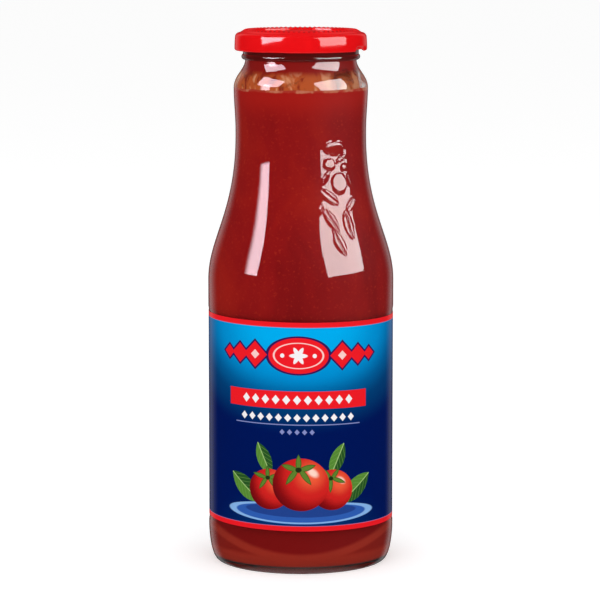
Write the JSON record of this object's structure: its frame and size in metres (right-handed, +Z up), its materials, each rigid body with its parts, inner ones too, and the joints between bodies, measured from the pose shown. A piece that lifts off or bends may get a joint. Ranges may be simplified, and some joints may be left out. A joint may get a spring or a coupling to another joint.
{
  "type": "passata bottle",
  "caption": "Shut glass bottle of tomato passata with a waisted neck, a red twist-off lid and a wrapped printed label.",
  "frame": {"origin": "centre of the foot, on the surface that the bottle stands on", "axes": "+Z up along the bottle's axis, the front of the label faces -Y, +X to its right"},
  "size_m": [0.08, 0.08, 0.23],
  "materials": {
    "clear_glass": "clear, smooth, faintly green in its thick parts",
    "tomato_passata": "thick wet puree, deep red, with the lacquered look of food against glass",
    "red_lacquer": "glossy bright red lacquer on tinplate",
    "printed_paper": "coated paper printed in blue and red"
  },
  "bodies": {
    "root": {"bottle_glass": "clear_glass", "passata": "tomato_passata", "lid": "red_lacquer", "label": "printed_paper"}
  },
  "joints": []
}
